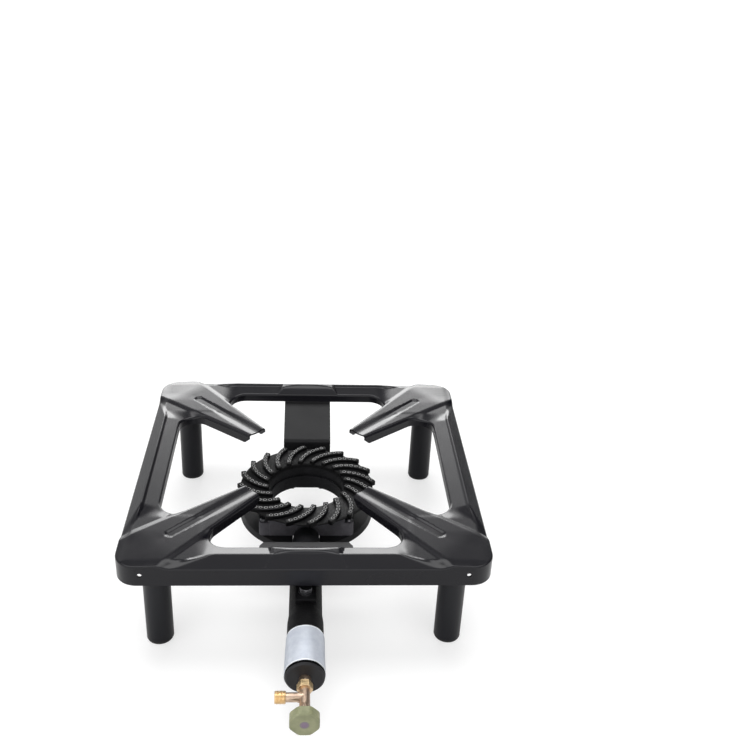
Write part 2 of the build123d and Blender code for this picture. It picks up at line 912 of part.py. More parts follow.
def inlet_nipple():
    """Gas inlet with a neck and a threaded end."""
    outline = Polyline(
        [
            (-(inlet_boss_reach - inlet_spigot_length), inlet_bore_radius),
            (-(inlet_boss_reach - inlet_spigot_length), inlet_spigot_radius),
            (-inlet_boss_reach, inlet_spigot_radius),
            (-inlet_boss_reach, inlet_neck_radius),
            (-inlet_shoulder, inlet_neck_radius),
            (-inlet_shoulder, inlet_thread_radius),
            (-inlet_end + inlet_chamfer, inlet_thread_radius),
            (-inlet_end, inlet_thread_radius - inlet_chamfer),
            (-inlet_end, inlet_bore_radius),
        ],
        close=True,
    )
    plane = Plane((0, -inlet_y, gas_line_height), x_dir=(1, 0, 0), z_dir=(0, -1, 0))
    return revolve(plane * make_face(outline), Axis((0, -inlet_y, gas_line_height), (1, 0, 0)))


def stem_packing():
    """Packing ring round the stem."""
    end = packing_start + packing_length
    ring = rod_forward(gland_thread_radius, packing_start, end)
    return ring - rod_forward(stem_radius + stem_running_fit, packing_start - 1, end + 1)


def gland_nut():
    """Flared nut that closes the valve body round the stem."""
    bore = stem_radius + stem_running_fit
    return along_gas_line(
        [
            (packing_start + packing_length, bore),
            (packing_start + packing_length, gland_thread_radius),
            (valve_body_end, gland_thread_radius),
            (valve_body_end, valve_body_radius),
            (gland_flare_end, gland_radius),
            (gland_end, gland_radius),
            (gland_end, bore),
        ]
    )


def valve_stem():
    """Stem with a needle at its inner end and a tapped hole for the knob's screw."""
    tip = stem_end - knob_screw_length
    hole = knob_screw_radius + thread_fit
    return along_gas_line(
        [
            (needle_tip, 0),
            (needle_tip, needle_tip_radius),
            (needle_shoulder, stem_radius),
            (stem_end, stem_radius),
            (stem_end, hole),
            (tip, hole),
            (tip, 0),
        ]
    )


def knob():
    """Eight-sided rounded knob, hollow at the back, with a hub on the stem."""
    outline = RegularPolygon(knob_across_flats / 2, 8, major_radius=False, rotation=22.5)
    outline = fillet(outline.vertices(), knob_corner_radius)
    body = facing_front(outline, knob_back, knob_face - knob_back)
    rims = body.edges().group_by(Axis.Y)
    body = chamfer(rims[0], knob_edge)
    hollow = offset(outline, -knob_shell)
    body -= facing_front(hollow, knob_back - 1, knob_face - knob_web - knob_back + 1)
    body += rod_forward(knob_hub_radius, knob_hub_start, knob_face - knob_web)
    body -= rod_forward(stem_radius + stem_running_fit, knob_hub_start - 1, stem_end)
    body -= rod_forward(knob_screw_radius + thread_fit, stem_end - 1, knob_face)
    seat = knob_face - knob_screw_head_height
    return body - rod_forward(knob_screw_head_radius + thread_fit, seat, knob_face + 1)


def knob_screw():
    """Flush screw through the knob's face into the stem."""
    seat = knob_face - knob_screw_head_height
    shank = rod_forward(knob_screw_radius, stem_end - knob_screw_length + 1, seat)
    return shank + rod_forward(knob_screw_head_radius, seat, knob_face)


save("stand_frame", stand_frame())
underside = pressed_form(stand_sheet)
for place, (x, y) in corners.items():
    save(f"leg_{place}", leg_tube(x, y))
    save(f"leg_cap_{place}", leg_cap(x, y))
    save(f"leg_socket_{place}", leg_socket(x, y, underside))
save("back_strap", back_strap())
save("front_bracket", front_bracket())
save("tube_hanger", tube_hanger())
save("burner_body", burner_body())
save("burner_head", burner_head())
save("burner_tray", burner_tray())
lug_places = [polar(lug_circle_radius, angle) for angle in lug_angles]
save("lug_screws", Compound([lug_screw(x, y) for x, y in lug_places]))
save("lug_nuts", Compound([lug_nut(x, y) for x, y in lug_places]))
save("strap_bolts", Compound([strap_bolt(x, y) for x, y in strap_bolts]))
save("strap_spacers", Compound([strap_spacer(x, y) for x, y in strap_bolts]))
save("tube_bolt", tube_bolt())
save("tube_bolt_washer", tube_bolt_washer())
save("label_sleeve", label_sleeve())
save("air_shutter", air_shutter())
save("jet_holder", jet_holder())
save("gas_jet", gas_jet())
save("valve_body", valve_body())
save("inlet_nipple", inlet_nipple())
save("stem_packing", stem_packing())
save("gland_nut", gland_nut())
save("valve_stem", valve_stem())
save("knob", knob())
save("knob_screw", knob_screw())
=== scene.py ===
import json
from math import atan2, cos, hypot, pi, radians, sin, sqrt, tan

import bpy
import bmesh
from mathutils import Matrix, Vector
from mathutils.geometry import delaunay_2d_cdt


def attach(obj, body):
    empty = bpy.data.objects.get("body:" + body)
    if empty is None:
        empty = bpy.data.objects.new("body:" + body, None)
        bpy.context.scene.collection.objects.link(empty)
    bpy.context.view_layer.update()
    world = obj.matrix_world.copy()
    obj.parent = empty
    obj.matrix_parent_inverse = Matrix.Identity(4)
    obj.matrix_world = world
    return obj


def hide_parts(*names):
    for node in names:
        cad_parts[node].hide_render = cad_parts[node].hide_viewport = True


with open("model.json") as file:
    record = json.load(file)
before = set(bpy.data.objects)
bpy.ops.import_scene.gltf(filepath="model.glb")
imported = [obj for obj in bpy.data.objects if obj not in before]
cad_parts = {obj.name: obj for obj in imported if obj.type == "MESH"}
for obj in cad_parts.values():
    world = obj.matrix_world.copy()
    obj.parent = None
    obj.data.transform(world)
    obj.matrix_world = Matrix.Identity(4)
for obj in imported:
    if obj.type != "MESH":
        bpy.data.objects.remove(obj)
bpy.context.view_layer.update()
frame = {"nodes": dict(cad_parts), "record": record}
nodes = frame["nodes"]
MM = 0.001
GAS_LINE = 62.0


# Camera

CAMERA_PLACE = (-0.003734, -0.968098, 0.765647)
CAMERA_TURNS = (0.075249, 0.4810825, 0.0484255)
LENS, SENSOR = 45.8649, 36


def add_camera():
    """Puts the camera where the photograph was taken from."""
    yaw, pitch, roll = CAMERA_TURNS
    ahead = Vector((sin(yaw) * cos(pitch), cos(yaw) * cos(pitch), -sin(pitch)))
    right = Vector((cos(yaw), -sin(yaw), 0))
    up = right.cross(ahead)
    right, up = cos(roll) * right + sin(roll) * up, cos(roll) * up - sin(roll) * right
    data = bpy.data.cameras.new("camera")
    data.sensor_width = SENSOR
    data.lens = LENS
    camera = bpy.data.objects.new("camera", data)
    rows = Matrix((right, up, -ahead)).transposed().to_4x4()
    camera.matrix_world = Matrix.Translation(CAMERA_PLACE) @ rows
    bpy.context.scene.collection.objects.link(camera)
    bpy.context.scene.camera = camera


# Materials

def new_material(name, metallic=0.0, specular=0.5):
    """Material with a Principled shader and object coordinates in millimetres."""
    material = bpy.data.materials.new(name)
    material.use_nodes = True
    tree = material.node_tree
    shader = tree.nodes["Principled BSDF"]
    shader.inputs["Metallic"].default_value = metallic
    shader.inputs["Specular IOR Level"].default_value = specular
    place = tree.nodes.new("ShaderNodeTexCoord")
    scale = tree.nodes.new("ShaderNodeMapping")
    scale.inputs["Scale"].default_value = (1000, 1000, 1000)
    tree.links.new(place.outputs["Object"], scale.inputs["Vector"])
    return material, tree, shader, scale.outputs["Vector"]


def noise(tree, vector, scale, detail, roughness):
    """Noise value over a vector."""
    node = tree.nodes.new("ShaderNodeTexNoise")
    node.inputs["Scale"].default_value = scale
    node.inputs["Detail"].default_value = detail
    node.inputs["Roughness"].default_value = roughness
    tree.links.new(vector, node.inputs["Vector"])
    return node.outputs["Fac"]


def stretch(tree, vector, scale):
    """Vector scaled by axis."""
    node = tree.nodes.new("ShaderNodeMapping")
    node.inputs["Scale"].default_value = scale
    tree.links.new(vector, node.inputs["Vector"])
    return node.outputs["Vector"]


def span(tree, value, low, high, start, end):
    """Value mapped from low..high onto start..end, and held there."""
    node = tree.nodes.new("ShaderNodeMapRange")
    node.inputs["From Min"].default_value = low
    node.inputs["From Max"].default_value = high
    node.inputs["To Min"].default_value = start
    node.inputs["To Max"].default_value = end
    tree.links.new(value, node.inputs["Value"])
    return node.outputs["Result"]


def maths(tree, operation, first, second):
    """One sum or product of values or value outputs."""
    node = tree.nodes.new("ShaderNodeMath")
    node.operation = operation
    for socket, value in zip(node.inputs, (first, second)):
        if isinstance(value, (int, float)):
            socket.default_value = value
        else:
            tree.links.new(value, socket)
    return node.outputs["Value"]


def product(tree, value, *others):
    """Product of values or value outputs."""
    for other in others:
        value = maths(tree, "MULTIPLY", value, other)
    return value


def total(tree, value, *others):
    """Sum of values or value outputs."""
    for other in others:
        value = maths(tree, "ADD", value, other)
    return value


def window(tree, value, rise, fall):
    """One between two fades, zero outside them."""
    return product(tree, span(tree, value, *rise, 0, 1), span(tree, value, *fall, 1, 0))


def axis_value(tree, vector, axis):
    """One coordinate of a vector, in millimetres."""
    node = tree.nodes.new("ShaderNodeSeparateXYZ")
    tree.links.new(vector, node.inputs["Vector"])
    return node.outputs[axis]


def mix_colours(tree, value, first, second):
    """Colour between two colours or colour outputs."""
    node = tree.nodes.new("ShaderNodeMix")
    node.data_type = "RGBA"
    tree.links.new(value, node.inputs["Factor"])
    for socket, colour in (("A", first), ("B", second)):
        target = [s for s in node.inputs if s.name == socket and s.type == "RGBA"][0]
        if isinstance(colour, tuple):
            target.default_value = (*colour, 1)
        else:
            tree.links.new(colour, target)
    return [s for s in node.outputs if s.type == "RGBA"][0]


def bump(tree, height, strength, distance, under=None):
    """Bumped normal from a height value."""
    node = tree.nodes.new("ShaderNodeBump")
    node.inputs["Strength"].default_value = strength
    node.inputs["Distance"].default_value = distance
    tree.links.new(height, node.inputs["Height"])
    if under is not None:
        tree.links.new(under, node.inputs["Normal"])
    return node.outputs["Normal"]


def surface(tree, shader, colour, roughness, normal):
    """Links the colour, roughness and normal of a surface to its shader."""
    for socket, output in (("Base Color", colour), ("Roughness", roughness), ("Normal", normal)):
        tree.links.new(output, shader.inputs[socket])


def enamel(name, colour, hazed, gloss=0.17, specular=0.25):
    """Glossy stoved enamel: faint orange peel, hazier patches and a few dull rubs."""
    material, tree, shader, at = new_material(name, specular=specular)
    patches = noise(tree, at, 0.012, 3, 0.55)
    tone = mix_colours(tree, span(tree, patches, 0.35, 0.7, 0, 1), colour, hazed)
    rubs = noise(tree, stretch(tree, at, (1, 1, 2.5)), 0.035, 5, 0.65)
    roughness = span(tree, rubs, 0.35, 0.75, gloss, gloss + 0.07)
    peel = noise(tree, at, 0.22, 1.5, 0.5)
    surface(tree, shader, tone, roughness, bump(tree, peel, 0.03, 0.0003))
    return material


TUBE_PLACE, POT_FRONT = (-130, -110), ((-66, -62), (-51, -48))
WEB_HEIGHTS, RIB_TOPS, RIM_TOPS = ((88.2, 89.0), (96.8, 97.6)), (97.2, 97.8), (98.02, 98.12)


def cast_iron(name, colour, light, tube, pot, crest, rim):
    """Sand-cast iron under black heat paint, lighter on the pot's front as painted light and on the
    port rims as a painted highlight, darker on the webs between the ribs and on the front of the
    tube as painted shade.
    """
    material, tree, shader, at = new_material(name, specular=0.12)
    grain = noise(tree, at, 0.9, 5, 0.7)
    patches = noise(tree, at, 0.06, 4, 0.6)
    tone = mix_colours(tree, span(tree, patches, 0.35, 0.7, 0, 1), colour, light)
    along, height = axis_value(tree, at, "Y"), axis_value(tree, at, "Z")
    # painted shade: the tube is darker where it runs forward of the bracket, standing in for the
    # dark it reflects
    tone = mix_colours(tree, span(tree, along, *TUBE_PLACE, 1, 0), tone, tube)
    # painted light: the pot's front face is made lighter, in patches, where the stand leaves it
    # little light
    near = product(tree, window(tree, along, *POT_FRONT), span(tree, patches, 0.3, 0.7, 0.6, 1))
    tone = mix_colours(tree, near, tone, pot)
    # painted shade: the webs between the ribs are darkened where the ribs shade them
    web_painted_shade = window(tree, height, *WEB_HEIGHTS)
    tone = mix_colours(tree, web_painted_shade, tone, tuple(0.35 * c for c in colour))
    tone = mix_colours(tree, span(tree, height, *RIB_TOPS, 0, 1), tone, crest)
    # painted highlight: the tops of the port rims are made light grey
    tone = mix_colours(tree, span(tree, height, *RIM_TOPS, 0, 1), tone, rim)
    worn = span(tree, grain, 0.62, 0.75, 0, 0.4)
    tone = mix_colours(tree, worn, tone, tuple(2.2 * c for c in light))
    coarse = bump(tree, noise(tree, at, 0.35, 3, 0.6), 0.3, 0.0012)
    fine = bump(tree, grain, 0.3, 0.0006, coarse)
    surface(tree, shader, tone, span(tree, grain, 0.3, 0.7, 0.60, 0.42), fine)
    return material


LABEL_BORDERS = ((-235.4, -236.2), (-281.6, -280.8))


def label(name, colour, dull, border):
    """Bare foil with pale borders at both ends, dull patches and fine creases."""
    material, tree, shader, at = new_material(name, metallic=0.35)
    patches = noise(tree, at, 0.10, 4, 0.6)
    tone = mix_colours(tree, span(tree, patches, 0.35, 0.68, 0, 1), colour, dull)
    along = axis_value(tree, at, "Y")
    for start, end in LABEL_BORDERS:
        tone = mix_colours(tree, span(tree, along, start, end, 1, 0), tone, border)
    roughness = span(tree, patches, 0.3, 0.7, 0.34, 0.48)
    creases = noise(tree, stretch(tree, at, (0.6, 0.12, 0.6)), 0.5, 3, 0.6)
    surface(tree, shader, tone, roughness, bump(tree, creases, 0.25, 0.0006))
    return material


THREAD_PLACE, HEXAGON_PLACE = (-18.8, -18.2), ((-303.5, -302.5), (-295.5, -294.5))


def turned_metal(name, colour, dull, roughness, axis=(0.15, 2.5, 0.15), painted_highlight=None):
    """Turned metal with fine tool marks and dull patches, and a painted highlight that lightens the
    thread and the hexagon.
    """
    material, tree, shader, at = new_material(name, metallic=1.0)
    marks = noise(tree, stretch(tree, at, axis), 1.4, 3, 0.6)
    patches = noise(tree, at, 0.18, 4, 0.6)
    tone = mix_colours(tree, span(tree, patches, 0.35, 0.68, 0, 1), colour, dull)
    if painted_highlight:
        # painted highlight: the thread and the hexagon get a lighter colour where they catch the
        # light
        thread = span(tree, axis_value(tree, at, "X"), *THREAD_PLACE, 1, 0)
        hexagon = window(tree, axis_value(tree, at, "Y"), *HEXAGON_PLACE)
        tone = mix_colours(tree, maths(tree, "MAXIMUM", thread, hexagon), tone, painted_highlight)
    rubs = span(tree, patches, 0.3, 0.7, roughness, roughness + 0.2)
    surface(tree, shader, tone, rubs, bump(tree, marks, 0.25, 0.0004))
    return material


DOT_RADIUS, DOT_FACE = 4.6, (-343, -342)


def moulded(name, colour, light, roughness, dot=None):
    """Moulded plastic or rubber with a fine grain, and a tinted ring round the knob's screw."""
    material, tree, shader, at = new_material(name, specular=0.4)
    fine = noise(tree, at, 0.6, 3, 0.6)
    patches = noise(tree, at, 0.08, 3, 0.6)
    tone = mix_colours(tree, span(tree, patches, 0.35, 0.7, 0, 1), colour, light)
    if dot:
        across = maths(tree, "POWER", axis_value(tree, at, "X"), 2)
        upward = maths(tree, "SUBTRACT", axis_value(tree, at, "Z"), GAS_LINE)
        square = total(tree, across, maths(tree, "POWER", upward, 2))
        ring = span(tree, square, DOT_RADIUS**2 - 3, DOT_RADIUS**2 + 3, 1, 0)
        face = span(tree, axis_value(tree, at, "Y"), *DOT_FACE, 1, 0)
        tone = mix_colours(tree, product(tree, ring, face), tone, dot)
    rubs = span(tree, fine, 0.3, 0.7, roughness - 0.06, roughness + 0.08)
    surface(tree, shader, tone, rubs, bump(tree, fine, 0.15, 0.0005))
    return material


IRON = {
    "colour": (0.008, 0.008, 0.009),
    "light": (0.014, 0.014, 0.016),
    # painted shade on the tube forward of the bracket
    "tube": (0.0045, 0.0045, 0.005),
    # painted light on the pot's front face
    "pot": (0.115, 0.112, 0.125),
    "crest": (0.012, 0.012, 0.012),
    # painted highlight on the port rims
    "rim": (0.42, 0.42, 0.42),
}
FOIL = [(0.66, 0.70, 0.77), (0.56, 0.60, 0.68), (0.85, 0.88, 0.92)]
# The second brass colour is a painted highlight on the thread and the hexagon.
BRASS, BRASS_PAINTED_HIGHLIGHT = [(0.60, 0.45, 0.33), (0.44, 0.33, 0.26), 0.28], (0.80, 0.60, 0.34)
OLIVE, OLIVE_DOT = [(0.19, 0.20, 0.11), (0.28, 0.285, 0.17), 0.36], (0.19, 0.16, 0.17)
ZINC, ZINC_MARKS = [(0.17, 0.17, 0.18), (0.08, 0.08, 0.085), 0.3], (0.3, 0.3, 2.5)
ENAMELS = {
    "stand_enamel": [(0.0075, 0.0073, 0.0095), (0.0090, 0.0088, 0.0110)],
    "leg_enamel": [(0.007, 0.0072, 0.0095), (0.009, 0.0092, 0.0115), 0.28],
    "strap_enamel": [(0.009, 0.009, 0.010), (0.012, 0.012, 0.013), 0.38, 0.16],
    "tray_enamel": [(0.010, 0.010, 0.011), (0.014, 0.014, 0.015), 0.35],
    "socket_steel": [(0.012, 0.012, 0.012), (0.02, 0.02, 0.02), 0.45],
    "shutter_enamel": [(0.010, 0.010, 0.011), (0.016, 0.016, 0.018), 0.4],
}
MOULDED = {
    "cap_rubber": [(0.010, 0.010, 0.010), (0.016, 0.016, 0.016), 0.55],
    "packing_rubber": [(0.02, 0.02, 0.02), (0.03, 0.03, 0.03), 0.5],
    "knob_plastic": [*OLIVE, OLIVE_DOT],
    "knob_pin": [(0.17, 0.12, 0.18), (0.2, 0.15, 0.2), 0.4],
}
materials = {slot: enamel(slot, *values) for slot, values in ENAMELS.items()}
materials.update({slot: moulded(slot, *values) for slot, values in MOULDED.items()})
materials["burner_iron"] = cast_iron("burner_iron", **IRON)
materials["zinc_steel"] = turned_metal("zinc_steel", *ZINC, ZINC_MARKS)
materials["label_foil"] = label("label_foil", *FOIL)
materials["brass"] = turned_metal("brass", *BRASS, painted_highlight=BRASS_PAINTED_HIGHLIGHT)
slots = {part["node"]: part["material_slot"] for part in frame["record"]["subparts"]}
for name, node in nodes.items():
    node.data.materials.clear()
    node.data.materials.append(materials[slots[name]])


# Pieces

def smooth_by_angle(mesh, degrees):
    """Smooth faces with sharp edges where the surface turns by more than an angle."""
    mesh.shade_smooth()
    work = bmesh.new()
    work.from_mesh(mesh)
    for edge in work.edges:
        edge.smooth = len(edge.link_faces) == 2 and edge.calc_face_angle(pi) < radians(degrees)
    work.to_mesh(mesh)
    work.free()


def add_piece(mesh, slot, body, replaced):
    """Adds a mesh as a piece that rides on a body and stands for a CAD node."""
    mesh.materials.append(materials[slot])
    piece = bpy.data.objects.new(mesh.name, mesh)
    bpy.context.scene.collection.objects.link(piece)
    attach(piece, body)
    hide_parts(replaced)


# Pressed stand, as one smooth sheet over the CAD node's own sizes

SIDE, CORNER, SHEET = 200.0, 24.0, 2.0
SKIRT_LOW, SKIRT_TOP, PLATEAU, FLANGE_LOW = 104.6, 125.5, 128.5, 118.0
SHOULDER, SHOULDER_ROUND = 9.0, 3.5
RAIL, WINDOW_CORNER = 34.0, 20.5
CREST_INSET, CREST_HEIGHT, CREST_ROUND = 15.0, 135.5, 1.3
STEP_INSET, STEP_HEIGHT, STEP_ROUND = 17.0, 132.6, 1.4
BEAD_FROM, BEAD_TO, BEAD_TAIL = 94.0, 118.0, 40.0
PAD_END, PAD_FADE, PAD_INSETS, PAD_RISE = 165.0, 25.0, (3, 12), 1.4
DOME_INSET, DOME_HEIGHT, DOME_SAG, DOME_HALF = 18.15, 137.6, 2.7, 36.0
DOME_END, DOME_REACH, DOME_BACK, DOME_TURN = 42.0, 46.0, -0.3, 25.0
DOME_ROUND, DOME_TURN_ROUND, DOME_END_ROUND, DOME_BLEND = 2.2, 3.0, 3.0, 0.8
ARM_TIP, ARM_HALF, ARM_FLARE, ARM_TOP, ARM_BLEND = 91.0, 14.0, 0.125, 131.2, 3.2
ARM_CREASE, ARM_CREASE_ROUND, CORNER_EDGE, CORNER_HEIGHT = 230.0, 8.0, 275.0, 128.6
FLANK_START, FLANK_SLOPE, FLANK_ROUND = 1.0, 0.9, 4.0
GROOVE_END, GROOVE_FLAT, GROOVE_HALF, GROOVE_SPREAD = 207.0, 3.2, 7.2, 4.4
GROOVE_DEPTH, GROOVE_RISE, GROOVE_OPENING = 1.5, 0.3, 15.0
TIP_CUT_HEIGHT, TIP_CUT_RUN = 124.6, 7.0
SKIRT_TURN, FLANGE_TURN = 1.7, 2.6
HOLE_X, HOLE_HEIGHT, HOLE_RADIUS, HOLE_CELL = 172.0, 118.0, 2.4, 4.0
HOLE_MARGIN, FLANGE_TOP = 1.5, 124.5

# Spacing of the sheet's plan points

COARSE, FINE, CLOSE, CELL, MERGE = 2.6, 1.3, 0.9, 4, 0.0001
SKIRT_STEP, FLANGE_STEP = 2.6, 2.2
RAIL_ROWS = [3, 4.6, 6.2, 7.6, 9, 10.6, 12.2, 13.4, 14.2, 14.9, 15.5, 16.1, 16.7, 17.3, 17.9, 18.5]
RAIL_ROWS += [19.2, 20.4, 22.4, 24.6, 26.8, 29, 30.6]
RAIL_END, RAIL_BUSY = 180.0, ((28, 48), (94, 122))
GROOVE_ROWS, GROOVE_BUSY = [0.0, 1.8, 3.0, 3.9, 4.7, 5.5, 6.3, 7.2, 8.6], 9
FLANK_ROWS, FLANK_ROOM = [-5.6, -4.4, -3.2, -2, -0.8, 0.4, 1.6, 2.8, 4, 5.4], 7


def ramp(x, w):
    """Zero below a kink and x above it, rounded within w."""
    if x <= -w:
        return 0.0
    return x if x >= w else (x + w) ** 2 / (4 * w)


def bent(x, start, slope, kinks):
    """Line through start with rounded changes of slope at (place, new slope, rounding)."""
    value = start + slope * x
    for place, new, width in kinks:
        value += (new - slope) * ramp(x - place, width)
        slope = new
    return value


def ease(x, low, high):
    """Smooth step from 0 at low to 1 at high."""
    t = min(1.0, max(0.0, (x - low) / (high - low)))
    return t * t * (3 - 2 * t)


def smooth_max(a, b, k):
    """Larger of two values, rounded where they meet."""
    h = max(0.0, k - abs(a - b)) / k
    return max(a, b) + h * h * k / 4


def arm_half(s):
    """Half width of an arm at its flange."""
    return ARM_HALF + ARM_FLARE * (s - ARM_TIP)


def dome_height(u, a):
    """Lens-shaped dome over the middle of a rail, flush with the rail's outer slope."""
    rise = (DOME_HEIGHT - SKIRT_TOP) / DOME_INSET
    fall = (PLATEAU - DOME_HEIGHT - DOME_BACK * (DOME_TURN - DOME_INSET)) / (RAIL - DOME_TURN)
    kinks = [(DOME_INSET, DOME_BACK, DOME_ROUND), (DOME_TURN, fall, DOME_TURN_ROUND)]
    section = bent(u, SKIRT_TOP, rise, kinks)
    end = (DOME_HEIGHT - DOME_SAG - PLATEAU) / (DOME_END - DOME_HALF)
    lid = DOME_HEIGHT - DOME_SAG * (a / DOME_HALF) ** 2 - end * ramp(a - DOME_HALF, DOME_END_ROUND)
    return -smooth_max(-section, -lid, DOME_BLEND)


def stand_height(x, y):
    """Height of the stand's top skin."""
    front = abs(y) > abs(x)
    x, y = abs(x), abs(y)
    u, a = SIDE - max(x, y), min(x, y)
    s, t = (x + y) / sqrt(2), abs(x - y) / sqrt(2)
    valley = bent(u, SKIRT_TOP, (PLATEAU - SKIRT_TOP) / SHOULDER, [(SHOULDER, 0.0, SHOULDER_ROUND)])
    pad = ease(a, BEAD_FROM, BEAD_TO) * ease(PAD_END - a, 0, PAD_FADE)
    valley += PAD_RISE * pad * ease(u, *PAD_INSETS)
    rise = (CREST_HEIGHT - SKIRT_TOP) / CREST_INSET
    step = (STEP_HEIGHT - CREST_HEIGHT) / (STEP_INSET - CREST_INSET)
    fall = (PLATEAU - STEP_HEIGHT) / (RAIL - STEP_INSET)
    kinks = [(CREST_INSET, step, CREST_ROUND), (STEP_INSET, fall, STEP_ROUND)]
    bead = bent(u, SKIRT_TOP, rise, kinks)
    tail = BEAD_TAIL * (1 - min(u, CREST_INSET) / CREST_INSET)
    rail = valley + (bead - valley) * (1 - ease(a, BEAD_FROM + tail, BEAD_TO + tail))
    if front and a < DOME_REACH:
        rail = smooth_max(rail, dome_height(u, a), DOME_BLEND)
    crease = (ARM_TOP - CORNER_HEIGHT) / (CORNER_EDGE - ARM_CREASE)
    top = ARM_TOP - crease * ramp(s - ARM_CREASE, ARM_CREASE_ROUND)
    arm = top - FLANK_SLOPE * ramp(t - (arm_half(s) - FLANK_START), FLANK_ROUND)
    height = smooth_max(rail, arm, ARM_BLEND)
    away = abs(t) if s < GROOVE_END else hypot(s - GROOVE_END, t)
    open_end = 1 - ease(s, ARM_TIP + GROOVE_OPENING, GROOVE_END - GROOVE_OPENING)
    flat, half = GROOVE_FLAT * (1 - open_end), GROOVE_HALF + GROOVE_SPREAD * open_end
    return height - (GROOVE_DEPTH - GROOVE_RISE * open_end) * (1 - ease(away, flat, half))


def stand_normal(x, y):
    """Upward direction square to the stand's top skin."""
    h = 0.12
    dx = (stand_height(x + h, y) - stand_height(x - h, y)) / (2 * h)
    dy = (stand_height(x, y + h) - stand_height(x, y - h)) / (2 * h)
    return Vector((-dx, -dy, 1)).normalized()


def spaced(a, b, step):
    """Points from a to b, both ends included."""
    (x1, y1), (x2, y2) = a, b
    count = max(1, round(hypot(x2 - x1, y2 - y1) / step))
    return [(x1 + (x2 - x1) * k / count, y1 + (y2 - y1) * k / count) for k in range(count + 1)]


def arc_edge(centre, radius, start, end, step, side):
    """(point, direction into the sheet) pairs on an arc; side is 1 for a sheet outside it."""
    count = max(2, round(abs(end - start) * radius / step))
    found = []
    for k in range(count + 1):
        angle = start + (end - start) * k / count
        out = (cos(angle), sin(angle))
        place = (centre[0] + radius * out[0], centre[1] + radius * out[1])
        found.append((place, (side * out[0], side * out[1])))
    return found


def turned_pairs(pairs, k):
    """Pairs turned by k quarter turns."""
    for _ in range(k % 4):
        pairs = [((-p[1], p[0]), (-n[1], n[0])) for p, n in pairs]
    return pairs


def skirt_loop(step):
    """(point, direction into the sheet) pairs round the skirt, anticlockwise."""
    c = SIDE - CORNER
    edge = HOLE_X - HOLE_CELL
    straight = [(SIDE, -c)] + spaced((SIDE, -edge), (SIDE, edge), step)
    quarter = [(p, (-1.0, 0.0)) for p in straight]
    quarter += arc_edge((c, c), CORNER, 0, pi / 2, step, -1)[:-1]
    return [pair for k in range(4) for pair in turned_pairs(quarter, k)]


def window_loop(step):
    """(point, direction into the sheet) pairs round the window, clockwise, from tip to tip."""
    half = SIDE - RAIL
    lean = atan2(ARM_FLARE, 1)
    course = pi / 4 - lean
    along = (cos(course), sin(course))
    normal = (-along[1], along[0])
    start = ((ARM_TIP + ARM_HALF) / sqrt(2), (ARM_TIP - ARM_HALF) / sqrt(2))
    meet = start[1] + (half - start[0]) * tan(course)
    cut = WINDOW_CORNER / tan((pi / 2 - course) / 2)
    end = (half - cut * along[0], meet - cut * along[1])
    centre = (half - WINDOW_CORNER, meet - cut)
    side = [(p, normal) for p in spaced(start, end, step)[:-1]]
    side += arc_edge(centre, WINDOW_CORNER, course + pi / 2, 0, step, 1)[:-1]
    half_side = side + [(p, (1.0, 0.0)) for p in spaced((half, centre[1]), (half, 0), step)]
    mirrored = [((p[0], -p[1]), (n[0], -n[1])) for p, n in reversed(half_side[:-1])]
    return [item for k in range(4) for item in turned_pairs(half_side + mirrored, -k)]


def in_every_quarter(x, y):
    """A plan point turned into the four quarters."""
    return [(x, y), (-y, x), (-x, -y), (y, -x)]


def rail_points():
    """Plan points in rows along the rails, closer at the crest and the ends of beads and domes."""
    along, a = [], -RAIL_END
    while a <= RAIL_END:
        along.append(a)
        a += FINE if any(low < abs(a) < high for low, high in RAIL_BUSY) else COARSE
    found = []
    for u in RAIL_ROWS:
        for a in along:
            s, t = (SIDE - u + abs(a)) / sqrt(2), (SIDE - u - abs(a)) / sqrt(2)
            if t > arm_half(s) + FLANK_ROOM:
                found += in_every_quarter(SIDE - u, a)
    return found


def arm_points():
    """Plan points in rows along the arms, closer at the groove and the flanks."""
    found = []
    s = ARM_TIP + 2 * CLOSE
    while s < CORNER_EDGE:
        edge = arm_half(s)
        offsets = [t for t in GROOVE_ROWS if t < edge - FLANK_ROOM - 1]
        room = edge - FLANK_ROOM - offsets[-1]
        count = max(1, round(room / COARSE))
        offsets += [offsets[-1] + room * j / count for j in range(1, count + 1)]
        offsets += [edge + t for t in FLANK_ROWS]
        for t in offsets:
            for sign in (-1, 1) if t else (1,):
                found += in_every_quarter((s - sign * t) / sqrt(2), (s + sign * t) / sqrt(2))
        s += FINE if abs(s - GROOVE_END) < GROOVE_BUSY else COARSE
    return found


def inside(point, loop):
    """Whether a plan point lies inside a closed loop of points."""
    x, y = point
    found = False
    for (x1, y1), (x2, y2) in zip(loop, loop[1:] + loop[:1]):
        if (y1 > y) != (y2 > y) and x < x1 + (y - y1) / (y2 - y1) * (x2 - x1):
            found = not found
    return found


def uncrowded(points, rim, outer, opening):
    """The points between two loops that stay clear of the rim and of each other."""
    cells = {}
    for x, y in rim:
        cells.setdefault((int(x // CELL), int(y // CELL)), []).append((x, y))
    kept = []
    for x, y in points:
        i, j = int(x // CELL), int(y // CELL)
        near = [q for a in (-1, 0, 1) for b in (-1, 0, 1) for q in cells.get((i + a, j + b), [])]
        crowded = any(hypot(x - q[0], y - q[1]) < CLOSE for q in near)
        if not crowded and inside((x, y), outer) and not inside((x, y), opening):
            kept.append((x, y))
            cells.setdefault((i, j), []).append((x, y))
    return kept


